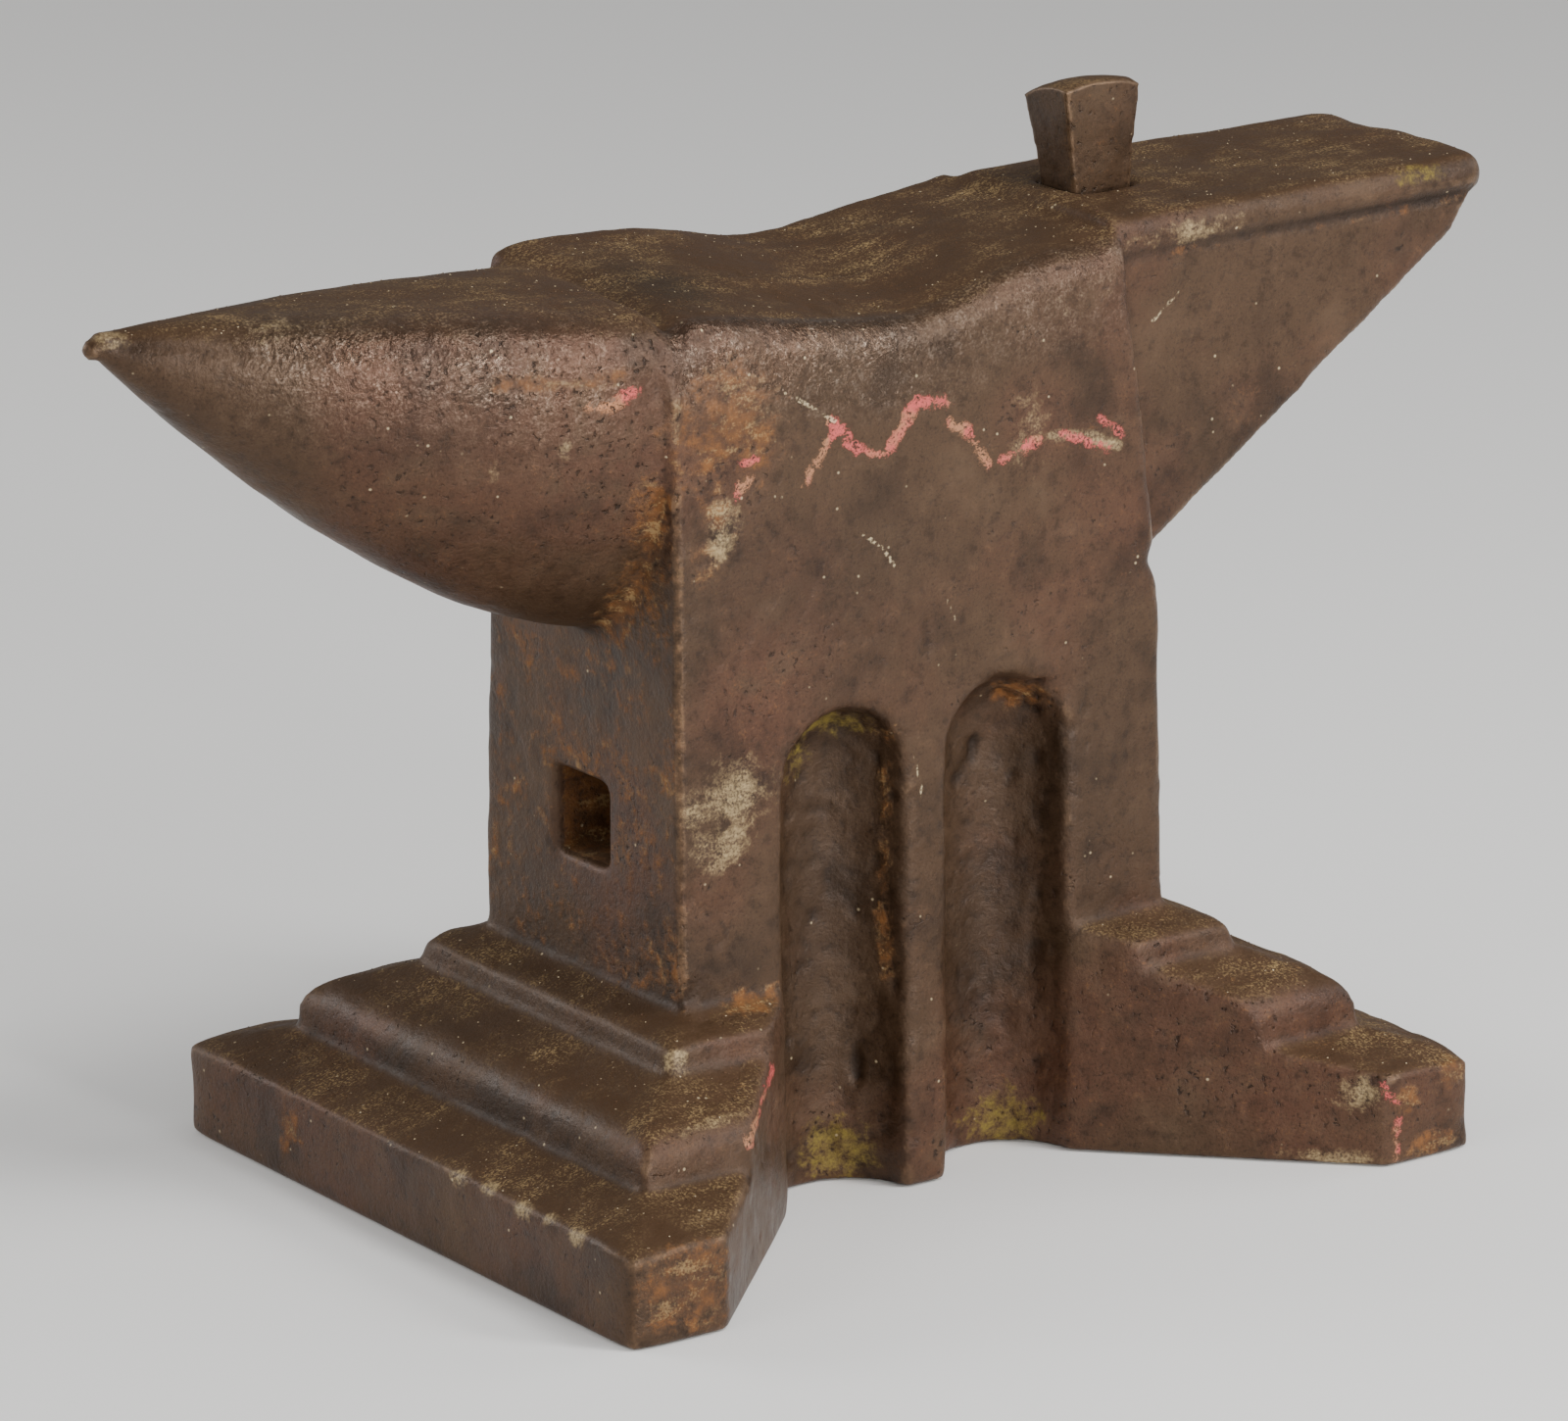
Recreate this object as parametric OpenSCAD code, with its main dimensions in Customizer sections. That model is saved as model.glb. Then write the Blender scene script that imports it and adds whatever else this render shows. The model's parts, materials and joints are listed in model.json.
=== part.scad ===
// Double-ended forge anvil: a waist with arched niches on four stepped feet, a horn at one
// end, a wedge-shaped heel at the other, and a loose square tool in the heel's hardy hole.
// +X points along the heel, -X along the horn and +Z up. The origin is on the ground, in
// the middle of the base. All sizes are in millimetres and all angles in degrees.

/* [Base] */
// Length of the base, from end to end
base_l = 405; // [395:1:415]
// Width of the base, from side to side
base_w = 322; // [310:1:330]
// Height of the bottom step at its outer edge
sole_edge_h = 38; // [30:1:42]
// Height of the bottom step where it meets the middle step
sole_root_h = 47; // [44:1:49]
// How far the middle step stands out from the waist
roll_out = 55; // [48:1:58]
// Height of the middle step at the end of its rounded edge
roll_edge_h = 70; // [67:1:72]
// Height of the middle step where it meets the top step
roll_root_h = 78; // [75:1:80]
// Radius of the middle step's rounded edge
roll_r = 16; // [8:1:18]
// How far the top step stands out from the waist
collar_out = 20; // [14:1:26]
// Height of the top step at its outer edge
collar_edge_h = 88; // [84:1:90]
// Height of the top step where it meets the waist
collar_root_h = 94; // [92:1:100]

/* [Waist] */
// Length of the waist
waist_l = 232.8; // [225:0.2:240]
// Width of the waist
waist_w = 140; // [134:1:146]
// How far the back of the waist leans in, from the feet up to the face
back_lean = 10; // [4:0.5:11]
// How far the heel end of the waist leans in below the heel
end_lean = 3.4; // [0:0.2:5]
// How far the heel end of the waist leans in, up to the face
end_draw = 15.4; // [8:0.2:18]

/* [Niches] */
// Radius of each half-round niche
niche_r = 28.6; // [24:0.2:30]
// Distance of a niche's centre line from the middle of the waist
niche_x = 39; // [36:0.5:42]
// Height of the centre of a niche's round head
niche_head_h = 173.8; // [160:0.2:180]

/* [Lifting holes] */
// Width of the square lifting hole in each end of the waist
lift_w = 36; // [30:1:40]
// Height of the lifting hole
lift_h = 34; // [30:1:40]
// Depth of the lifting hole
lift_deep = 60; // [30:1:65]
// Height of the lifting hole's centre above the ground
lift_z = 155.6; // [140:0.2:170]

/* [Face] */
// Height of the face's back edge at its unworn ends
face_h = 374.5; // [372:0.5:378]
// How much lower the front edge of the face lies than its back edge
face_tilt = 6; // [0:0.5:8]
// Thickness of the steel face over the waist where it is unworn
steel_t = 24; // [20:1:26]
// Thickness of the steel face over the heel
heel_steel_t = 16; // [12:1:18]
// Depth of the hollow worn into the face
sway = 13.2; // [0:0.2:16]
// Depth by which the body below has sunk under the hollow
sunk = 9; // [0:0.2:10]
// Position of the hollow's lowest point along the face
sway_x = 10; // [-10:1:20]
// Width of the worn roll along the front edge of the face
front_roll = 22; // [10:1:28]
// Radius of the back edge of the face
back_r = 5; // [2:0.5:8]
// Length of the ramp from the horn up to the face
step_l = 12; // [6:1:16]

/* [Horn] */
// Length of the horn from the waist to its blunt tip
horn_l = 210.6; // [190:0.2:220]
// Half width of the horn at its root
horn_root_w = 64; // [58:0.5:64]
// How far the horn's root lies off the middle, towards the front
horn_shift = 4.5; // [4:0.5:5.5]
// Height of the top of the horn at its root
horn_root_top = 370.5; // [366:0.5:372]
// Height of the underside of the horn at its root
horn_root_low = 234; // [225:1:240]
// Height of the top of the horn at its tip
horn_tip_top = 383; // [370:0.5:390]
// How far the top of the horn bows up between its root and its tip
horn_bow = 1.8; // [0:0.2:4]
// Radius of the blunt tip
horn_tip_r = 5.6; // [4:0.2:8]
// Radius of the small knob left on the tip by the forge
knob_r = 4.3; // [3:0.1:5]

/* [Heel] */
// Distance of the heel's nose from the middle of the anvil
heel_x = 290; // [280:1:295]
// Width of the heel at the waist
heel_root_w = 106; // [96:1:110]
// Width of the heel at its nose
heel_nose_w = 98; // [90:1:104]
// How far the heel lies off the middle, towards the front
heel_shift = 3; // [0:0.5:5]
// Height of the heel's underside at the waist
heel_low = 234; // [225:1:245]
// Height of the heel's underside at the nose
heel_nose_low = 344; // [335:1:350]
// Radius of the long edges of the heel's steel face
heel_edge_r = 5; // [2:0.5:8]

/* [Hardy hole and tool] */
// Side of the square hardy hole
hardy_w = 29; // [28.8:0.1:34]
// Position of the hardy hole along the heel
hardy_x = 130; // [129:1:150]
// Position of the hardy hole across the heel
hardy_y = 2; // [-4:1:4]
// Width of the tool at its crown, along the heel
tool_top_w = 37; // [32:0.5:40]
// Depth of the tool at its crown, across the heel
tool_top_d = 29; // [26:0.5:32]
// Width of the tool's shank where it enters the hole
tool_neck_w = 28.4; // [24:0.2:29]
// Depth of the tool's shank where it enters the hole
tool_neck_d = 23.4; // [20:0.2:28]
// Width of the tool's shank at its lower end
tool_end_w = 21; // [18:0.5:24]
// Height of the tool above the face
tool_h = 44; // [30:1:60]
// Length of the shank inside the hole
shank_l = 55; // [40:1:60]
// Radius of the tool's crown
crown_r = 35; // [30:1:60]
// Lean of the tool towards the horn in its loose hole
tool_lean = 2.5; // [0:0.5:3]

/* [Hidden] */
$fn = 64;

iron = [0.33, 0.24, 0.20];
iron_foot = [0.29, 0.22, 0.19];
iron_horn = [0.31, 0.24, 0.20];
steel = [0.40, 0.33, 0.28];
tool_steel = [0.31, 0.27, 0.25];

eps = 0.01;
reach = 2 * base_l;
half_l = waist_l / 2;
half_w = waist_w / 2;
seat_h = face_h - steel_t;
heel_seat_h = face_h - heel_steel_t;
back_top_y = half_w - back_lean;
end_low_x = half_l - end_lean;
end_top_x = half_l - end_draw;

// Wear along the face: a hollow that is steeper on the horn's side
sway_horn_l = 52;
sway_heel_l = 60;
function hollow(x) = exp(-pow((x - sway_x) / (x < sway_x ? sway_horn_l : sway_heel_l), 2));
function face_z(x) = face_h - sway * hollow(x);
function seat_z(x) = seat_h - sunk * hollow(x);

// Stations along the face, shared by the body and its steel so that they touch all over
face_steps = 28;
face_xs = [for (i = [0:face_steps]) -half_l + (end_top_x + half_l) * i / face_steps];

function arc(cx, cy, rx, ry, from, to, steps) =
    [for (i = [0:steps]) let (a = from + (to - from) * i / steps)
        [cx + rx * cos(a), cy + ry * sin(a)]];
function mix(a, b, t) = a + (b - a) * t;

// A solid skinned over rings of the same number of points
module skin(rings) {
    n = len(rings[0]);
    last = len(rings) - 1;
    sides = [for (k = [0:last - 1], j = [0:n - 1])
        [k * n + j, k * n + (j + 1) % n, (k + 1) * n + (j + 1) % n, (k + 1) * n + j]];
    start = [[for (j = [n - 1:-1:0]) j]];
    finish = [[for (j = [0:n - 1]) last * n + j]];
    polyhedron(points = [for (ring = rings, p = ring) p],
        faces = concat(sides, start, finish), convexity = 6);
}

// Outline of the mouldings, from the middle of the anvil out to the edge of the base
function mouldings(waist_half, base_half) = concat(
    [[0, 0], [base_half, 0], [base_half, sole_edge_h], [waist_half + roll_out, sole_root_h]],
    arc(waist_half + roll_out - roll_r, roll_edge_h - roll_r, roll_r, roll_r, 0, 90, 6),
    [[waist_half + collar_out, roll_root_h], [waist_half + collar_out, collar_edge_h],
        [waist_half, collar_root_h], [0, collar_root_h]]);

// One corner of the base, in the quarter with positive X and Y, mitred round its corner
module foot() {
    flank_x = niche_x + niche_r;
    side_run = base_w / 2 - half_w;
    difference() {
        intersection() {
            translate([0, base_w, 0]) rotate([90, 0, 0]) linear_extrude(base_w)
                polygon(mouldings(half_l, base_l / 2));
            rotate([90, 0, 90]) linear_extrude(base_l)
                polygon(mouldings(half_w, base_w / 2));
        }
        translate([-1, -1, -1]) cube([half_l + 1, half_w + 1, collar_root_h + 2]);
        translate([0, 0, -1]) linear_extrude(collar_root_h + 2)
            polygon([[-1, half_w - 1], [flank_x - 1, half_w - 1],
                [flank_x + side_run + 1, half_w + side_run + 1], [-1, half_w + side_run + 1]]);
    }
}

module foot_front_left() color(iron_foot) mirror([1, 0, 0]) mirror([0, 1, 0]) foot();
module foot_front_right() color(iron_foot) mirror([0, 1, 0]) foot();
module foot_back_left() color(iron_foot) mirror([1, 0, 0]) foot();
module foot_back_right() color(iron_foot) foot();

// A half-round niche that runs up from the ground and ends in a quarter-sphere
module niche() {
    translate([0, 0, -1]) cylinder(r = niche_r, h = niche_head_h + 1);
    translate([0, 0, niche_head_h]) sphere(r = niche_r);
}

// The forged block: waist, niches on both sides, and a lifting hole in each end
module body_core() {
    top = [for (i = [face_steps:-1:0]) [face_xs[i], seat_z(face_xs[i])]];
    side = concat([[-half_l, 0], [half_l, 0], [half_l, collar_root_h], [end_low_x, heel_low]],
        top);
    end_view = [[-half_w, -1], [half_w, -1], [half_w, collar_root_h], [back_top_y, face_h],
        [-half_w, face_h]];
    color(iron) difference() {
        intersection() {
            rotate([90, 0, 0]) linear_extrude(waist_w, center = true) polygon(side);
            rotate([90, 0, 90]) linear_extrude(reach, center = true) polygon(end_view);
        }
        for (y = [-half_w, half_w], x = [-niche_x, niche_x]) translate([x, y, 0]) niche();
        for (s = [-1, 1]) translate([s * half_l, 0, lift_z])
            cube([2 * lift_deep, lift_w, lift_h], center = true);
    }
}

// Outline across a steel plate, from its front lower corner over the top to its back.
// The top falls by tilt from the back edge to the front edge.
function plate_ring(x, front_y, back_y, low, top, tilt, front, back) =
    let (steps = 6,
        front_top = top - tilt,
        front_h = min(front, front_top - low - 1),
        back_h = min(back, top - low - 1))
    [for (p = concat([[front_y, low]],
            arc(front_y + front, front_top - front_h, front, front_h, 180, 90, steps),
            arc(back_y - back, top - back_h, back, back_h, 90, 0, steps),
            [[back_y, low]]))
        [x, p[0], p[1]]];

// Steel face over the body, hollowed by use, with a ramp down to the horn at one end
module face_plate() {
    ramp_h = face_h - horn_root_top;
    function top_z(x) = face_z(x) - ramp_h * max(0, 1 - (x + half_l) / step_l);
    color(steel) skin([for (x = face_xs)
        plate_ring(x, -half_w, back_top_y, seat_z(x), top_z(x), face_tilt, front_roll, back_r)]);
}

// Outline across the horn: a low crown on top and a deep keel below
function horn_ring(t) =
    let (steps = 40,
        taper = pow(t, 1.65),
        half = mix(horn_root_w, horn_tip_r, pow(t, 1.55)),
        top = mix(horn_root_top, horn_tip_top, t) + horn_bow * sin(180 * t),
        deep = mix(horn_root_top - horn_root_low, 2 * horn_tip_r, taper),
        crown = deep * mix(0.27, 0.5, t * t),
        keel = deep - crown,
        crown_n = mix(5, 2, t),
        keel_n = mix(1.75, 2, t))
    [for (i = [0:steps - 1])
        let (a = 360 * i / steps,
            n = sin(a) > 0 ? crown_n : keel_n,
            h = sin(a) > 0 ? crown : keel)
        [-half_l - horn_l * t,
            -horn_shift * (1 - t) - half * sign(cos(a)) * pow(abs(cos(a)), 2 / n),
            top - crown + h * sign(sin(a)) * pow(abs(sin(a)), 2 / n)]];

module horn() {
    rings = 24;
    tip_z = horn_tip_top - horn_tip_r;
    color(iron_horn) union() {
        skin([for (k = [0:rings]) horn_ring(k / rings)]);
        translate([-half_l - horn_l - knob_r / 2, 0, tip_z - 1]) sphere(r = knob_r);
    }
}

// Square hole down through the heel and its steel
module hardy_hole() {
    translate([hardy_x, hardy_y, face_h / 2]) cube([hardy_w, hardy_w, face_h + 2], center = true);
}

// Wedge under the heel's face, narrower than the waist and tapering to the nose
module heel() {
    nose_back = 16;
    seat_end = 6;
    side = [[end_low_x, heel_low], [heel_x - nose_back, heel_nose_low],
        [heel_x - seat_end, heel_seat_h], [end_top_x, heel_seat_h], [end_top_x, seat_h]];
    root = heel_root_w / 2;
    nose = heel_nose_w / 2;
    plan = [[end_top_x, -root], [heel_x, -nose], [heel_x, nose], [end_top_x, root]];
    color(iron) difference() {
        intersection() {
            rotate([90, 0, 0]) linear_extrude(waist_w, center = true) polygon(side);
            translate([0, -heel_shift, 0]) linear_extrude(face_h) polygon(plan);
        }
        hardy_hole();
    }
}

// Steel face over the heel, with a rounded nose
module heel_plate() {
    nose_l = 6;
    edge_drop = 5;
    tilt = face_tilt / 4;
    nose_x = heel_x - nose_l;
    straight = [for (i = [0:6]) mix(end_top_x, nose_x, i / 6)];
    nose = [for (a = [20:20:80]) nose_x + nose_l * sin(a)];
    function half(x) = mix(heel_root_w, heel_nose_w, (x - end_top_x) / (heel_x - end_top_x)) / 2;
    function drop(x) = x < nose_x ? 0 : edge_drop * (1 - sqrt(1 - pow((x - nose_x) / nose_l, 2)));
    color(steel) difference() {
        skin([for (x = concat(straight, nose))
            plate_ring(x, -heel_shift - half(x) + drop(x), -heel_shift + half(x) - drop(x),
                heel_seat_h + drop(x), face_h - drop(x), tilt, heel_edge_r, heel_edge_r)]);
        hardy_hole();
    }
}

function square_ring(w, d, z) = [[-w / 2, -d / 2, z], [-w / 2, d / 2, z], [w / 2, d / 2, z],
    [w / 2, -d / 2, z]];

// Square tool that flares up from its tapered shank to a crown that falls to the back
module hardy_tool() {
    crown_y = -8;
    flare = 1.1;
    end_d = tool_end_w - 2;
    color(tool_steel) translate([hardy_x, hardy_y, face_h]) rotate([0, -tool_lean, 0])
        intersection() {
            skin([square_ring(tool_end_w, end_d, -shank_l),
                square_ring(tool_neck_w, tool_neck_d, 0),
                square_ring(mix(tool_neck_w, tool_top_w, flare),
                    mix(tool_neck_d, tool_top_d, flare), tool_h * flare)]);
            union() {
                translate([0, crown_y, tool_h - crown_r]) rotate([0, 90, 0])
                    cylinder(r = crown_r, h = reach, center = true);
                translate([-reach / 2, -reach / 2, -reach]) cube([reach, reach, reach + 5]);
            }
        }
}

body_core();
foot_front_left();
foot_front_right();
foot_back_left();
foot_back_right();
horn();
heel();
face_plate();
heel_plate();
hardy_tool();
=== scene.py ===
# %% [markdown]
# # An old forge anvil
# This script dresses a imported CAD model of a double-ended anvil: a waist with arched niches,
# four stepped feet, a horn, a wedge-shaped heel, steel plates on top and a loose square tool.
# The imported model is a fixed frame. Every piece made here is in metres, in that same frame:
# +X towards the heel, -X towards the horn, +Z up, and the ground at Z = 0.

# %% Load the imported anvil
import json
import math
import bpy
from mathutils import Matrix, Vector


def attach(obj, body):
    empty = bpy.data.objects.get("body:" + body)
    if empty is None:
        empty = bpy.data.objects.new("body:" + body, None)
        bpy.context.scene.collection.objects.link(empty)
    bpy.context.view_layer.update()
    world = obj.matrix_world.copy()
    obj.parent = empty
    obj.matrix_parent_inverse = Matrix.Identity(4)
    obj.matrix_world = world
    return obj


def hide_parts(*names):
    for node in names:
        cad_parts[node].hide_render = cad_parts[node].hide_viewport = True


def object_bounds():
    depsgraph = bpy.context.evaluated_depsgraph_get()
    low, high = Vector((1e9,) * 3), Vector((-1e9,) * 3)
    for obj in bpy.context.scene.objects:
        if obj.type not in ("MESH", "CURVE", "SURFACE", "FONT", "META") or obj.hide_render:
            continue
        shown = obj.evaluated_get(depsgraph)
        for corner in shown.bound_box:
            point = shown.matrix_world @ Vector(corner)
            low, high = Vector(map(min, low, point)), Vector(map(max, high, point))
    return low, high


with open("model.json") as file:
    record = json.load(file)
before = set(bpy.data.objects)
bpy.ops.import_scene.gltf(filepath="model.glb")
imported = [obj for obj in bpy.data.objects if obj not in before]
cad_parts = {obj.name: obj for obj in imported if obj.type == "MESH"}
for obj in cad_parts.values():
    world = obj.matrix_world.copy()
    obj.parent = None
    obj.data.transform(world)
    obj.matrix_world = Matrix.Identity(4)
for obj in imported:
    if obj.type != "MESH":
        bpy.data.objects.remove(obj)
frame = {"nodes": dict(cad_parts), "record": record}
from types import SimpleNamespace
import bmesh
import bpy
import numpy as np
from mathutils import Matrix, Vector
from mathutils.kdtree import KDTree

cad_box = [list(corner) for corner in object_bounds()]
scene = bpy.context.scene
print("box of the packed anvil, in metres:", cad_box)

# %% [markdown]
# ## Camera
# A long lens from a few metres away flattens the view, as in a catalogue. The camera looks at
# the horn's end and the front side from a little above. Its matrix is built from its three
# axes, because a camera looks along its own -Z and its up direction is +Y.

# %% The camera
def place_camera(position, azimuth, elevation, roll, lens):
    a, e, r = (math.radians(angle) for angle in (azimuth, elevation, roll))
    back = Vector((math.sin(a) * math.cos(e), -math.cos(a) * math.cos(e), math.sin(e)))
    level = Vector((math.cos(a), math.sin(a), 0))
    upright = back.cross(level)
    right = math.cos(r) * level + math.sin(r) * upright
    up = back.cross(right)
    data = bpy.data.cameras.new("camera")
    data.lens = lens
    data.clip_start = 0.1
    data.clip_end = 100
    camera = bpy.data.objects.new("camera", data)
    camera.matrix_world = Matrix.Translation(position) @ Matrix((right, up, back)).transposed().to_4x4()
    scene.collection.objects.link(camera)
    return camera


camera_place = (-2.1187, -3.0485, 1.2808)
scene.camera = place_camera(camera_place, azimuth=-34.555, elevation=16.534, roll=-0.555, lens=225)
print("camera stands", round(scene.camera.location.length, 2), "m from the anvil")

# %% [markdown]
# ## Light
# Large soft lamps show the shape without hard shadows. Iron shows its shape by its highlights,
# so three lamps are there for one place each: a tall key lamp for the worn front edge, a small low
# one for the side of the horn, and a high one for the tops. The others fill in softly.

# %% The lamps
def area_lamp(name, position, target, size, power):
    data = bpy.data.lights.new(name, "AREA")
    data.shape = "RECTANGLE"
    data.size, data.size_y = size
    data.energy = power
    lamp = bpy.data.objects.new(name, data)
    lamp.location = position
    lamp.rotation_mode = "QUATERNION"
    lamp.rotation_quaternion = (Vector(target) - Vector(position)).to_track_quat("-Z", "Y")
    scene.collection.objects.link(lamp)
    return lamp


anvil_middle = (0, 0, 0.2)
LAMPS = {  # where it stands, its width and height, both in metres, and its power in watts
    "key": ((1.0, -1.65, 1.1), (0.42, 0.8), 22),
    "high": ((0.5, -1.1, 2.2), (0.9, 0.6), 25),
    "low": ((-0.1, -2.1, 0.5), (0.24, 0.24), 21),
    "front": ((-1.2, -2.6, 0.8), (1.8, 1.4), 11),
    "left": ((-2.6, -0.4, 1.2), (1.4, 1.2), 14),
    "right": ((2.6, -0.6, 1.2), (1.4, 1.2), 17),
    "back": ((-1.7, 2.2, 1.2), (1.6, 1.1), 36),
}
for name, (position, size, power) in LAMPS.items():
    area_lamp(name, position, anvil_middle, size, power)

world = bpy.data.worlds.new("studio")
world.use_nodes = True
sky = world.node_tree.nodes["Background"]
sky.inputs["Color"].default_value = (1, 1, 1, 1)
sky.inputs["Strength"].default_value = 0.32
scene.world = world
print("studio with", len(LAMPS), "lamps")

# %% [markdown]
# ## Floor
# A plain pale floor sends some light back up, as a workbench with a paper sheet would. It lies a
# hair below the anvil's sole, because two faces at one height would flicker.

# %% The floor
def new_material(name):
    """A material, and the sockets of its usual shader."""
    material = bpy.data.materials.new(name)
    material.use_nodes = True
    return material, material.node_tree.nodes["Principled BSDF"].inputs


floor_mesh = bpy.data.meshes.new("floor")
floor_half, floor_z = 12, -0.0003
floor_mesh.from_pydata([(x * floor_half, y * floor_half, floor_z) for x, y in
                        ((-1, -1), (1, -1), (1, 1), (-1, 1))], [], [(0, 1, 2, 3)])
floor = bpy.data.objects.new("floor", floor_mesh)
scene.collection.objects.link(floor)
pale, sockets = new_material("pale_floor")
sockets["Base Color"].default_value = (0.92, 0.91, 0.89, 1)
sockets["Roughness"].default_value = 0.7
floor.data.materials.append(pale)
print("floor", floor_half * 2, "m wide")

# %% [markdown]
# ## One block of iron
# On the real anvil the core, the feet, the horn, the heel and the steel are forge-welded: no
# joint shows, and a century of wear runs across all of them. Modelling the wear piece by piece
# would break it at every joint. So the CAD pieces are first fused into one block, the block is
# worn, and it is then cut back into its pieces, which meet without a visible seam.
# A modifier is only a plan until it is applied, so `baked` turns its result into a plain mesh.

# %% Helpers on objects
MM = 0.001


def new_object(name, mesh):
    piece = bpy.data.objects.new(name, mesh)
    scene.collection.objects.link(piece)
    return piece


def discard(*pieces):
    for piece in pieces:
        mesh = piece.data
        bpy.data.objects.remove(piece)
        bpy.data.meshes.remove(mesh)


def baked(piece):
    """The piece's mesh with its modifiers applied; the modifiers are then removed."""
    depsgraph = bpy.context.evaluated_depsgraph_get()
    mesh = bpy.data.meshes.new_from_object(piece.evaluated_get(depsgraph))
    piece.modifiers.clear()
    old = piece.data
    piece.data = mesh
    bpy.data.meshes.remove(old)
    return mesh


def even_skin(piece, face_size):
    """Rebuilds the piece's surface from small faces of one size."""
    remesh = piece.modifiers.new("skin", "REMESH")
    remesh.mode = "VOXEL"
    remesh.voxel_size = face_size
    baked(piece)


def combine(piece, other, operation):
    cut = piece.modifiers.new(operation, "BOOLEAN")
    cut.solver = "MANIFOLD"
    cut.operation = operation
    cut.object = other
    return baked(piece)


print("lengths below are in millimetres; one is", MM, "m")

# %% [markdown]
# ## Fusing
# The pieces are fused by a Boolean union. Each copy is swollen by a hair, so that neighbours that
# only touch overlap. A voxel remesh then gives an even skin of small faces that can be worn. A
# union alone would leave long thin triangles, which crease when their points are moved.

# %% Fuse the CAD pieces
WELDED = list(frame["record"]["behaviour"]["bodies"]["anvil"])
swell = 0.12 * MM
weld_distance = 0.001 * MM
skin_size = 1.8 * MM


def merged_copy(node):
    mesh = frame["nodes"][node].data.copy()
    mesh.materials.clear()
    shape = bmesh.new()
    shape.from_mesh(mesh)
    bmesh.ops.remove_doubles(shape, verts=shape.verts, dist=weld_distance)
    shape.normal_update()
    for vertex in shape.verts:
        vertex.co += vertex.normal * swell
    shape.to_mesh(mesh)
    shape.free()
    return new_object("copy_" + node, mesh)


block = merged_copy(WELDED[0])
for node in WELDED[1:]:
    part = merged_copy(node)
    combine(block, part, "UNION")
    discard(part)
print("fused block:", len(block.data.vertices), "points")

even_skin(block, skin_size)
print("even skin:", len(block.data.vertices), "points,", len(block.data.polygons), "faces")

# %% [markdown]
# ## Working on points
# The wear is worked out on arrays, because a formula over all points at once is fast and easy
# to read. Blender fills a flat array much faster than a loop over the points would.

# %% Read and write points
def read(items, key, width, kind=np.float32):
    """One value of every item of a mesh, as the rows of an array."""
    flat = np.zeros(len(items) * width, kind)
    items.foreach_get(key, flat)
    return flat.reshape(-1, width)


def points_of(mesh):
    return read(mesh.vertices, "co", 3, float) / MM


def set_points(mesh, points):
    mesh.vertices.foreach_set("co", (points * MM).astype(np.float32).ravel())
    mesh.update()


def normals_of(mesh):
    return read(mesh.vertex_normals, "vector", 3).astype(float)


def edges_of(mesh):
    return read(mesh.edges, "vertices", 2, np.int32)


points = points_of(block.data)
edges = edges_of(block.data)
print("skin of", len(points), "points and", len(edges), "edges")

# %% [markdown]
# ## Soft shapes and noise
# Wear has no sharp limits, so it is made of soft ones. `step` is a ramp, `blob` is a soft spot
# with a centre and radii in millimetres, and `smooth_noise` is a lattice of random numbers,
# blended between its corners. Its seed is fixed, so it gives the same result each run.

# %% Formulas on points
def step(low, high, value):
    """0 below low, 1 above high and a smooth ramp between them."""
    share = np.clip((value - low) / (high - low), 0, 1)
    return share * share * (3 - 2 * share)


def blob(points, centre, radii):
    """1 at the centre of a soft spot, falling to 0 over its radii."""
    away = (points - np.array(centre, float)) / np.array(radii, float)
    return np.exp(-(away ** 2).sum(1))


def smooth_noise(points, size, seed):
    """Noise between -1 and 1 whose lumps are about size millimetres wide."""
    lattice = np.random.default_rng(seed).uniform(-1, 1, (32, 32, 32))
    place = points / size + 1000
    cell = np.floor(place).astype(int)
    part = place - cell
    part = part * part * (3 - 2 * part)
    total = np.zeros(len(points))
    for corner in np.ndindex(2, 2, 2):
        weight = np.prod(np.where(corner, part, 1 - part), axis=1)
        i, j, k = ((cell + corner) % 32).T
        total += weight * lattice[i, j, k]
    return total


def neighbour_mean(values, edges):
    count = np.bincount(edges.ravel(), minlength=len(values))
    sums = [np.bincount(edges[:, 0], column[edges[:, 1]], len(values))
            + np.bincount(edges[:, 1], column[edges[:, 0]], len(values))
            for column in values.reshape(len(values), -1).T]
    return (np.stack(sums, 1) / np.maximum(count, 1)[:, None]).reshape(values.shape)


def smoothed(points, edges, rounds, weight):
    """The points, moved each round by a share of the way to the mean of their neighbours."""
    for _ in range(rounds):
        points = points + weight * (neighbour_mean(points, edges) - points)
    return points


print("noise at the anvil's middle:", smooth_noise(np.zeros((1, 3)), 46, 1).round(3))

# %% [markdown]
# ## Worn edges
# Forging and handling round every edge. Moving each point towards the mean of its neighbours
# does the same: the more often it is done, the rounder the edge. A weight keeps the thin tip
# of the horn, and lets the steps of the feet, the heel's end and the front edge wear more.

# %% Round the edges
def wear_weight(points):
    x, y, z = points.T
    weight = np.full(len(points), 0.55)
    weight *= step(-332, -300, x)
    weight += 0.3 * step(60, 75, z) * step(104, 92, z)
    weight += 0.35 * blob(points, (288, 0, 370), (14, 80, 16))
    weight += 0.3 * step(300, 350, z) * step(-50, -66, y) * step(118, 100, x)
    return np.clip(weight, 0, 0.9)


rounds = 9
points = smoothed(points, edges, rounds, wear_weight(points)[:, None])
set_points(block.data, points)
print("edges rounded in", rounds, "rounds")

# %% [markdown]
# ## The worn face
# Generations of hammering have sunk the middle of the face, most of all along its front edge,
# where the smith stands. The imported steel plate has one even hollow. Here the front gets its
# own, deeper and shorter one, and the front of the top leans into a soft roll.
# Each change is a formula that fades out below the face, so the waist keeps its shape.

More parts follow.
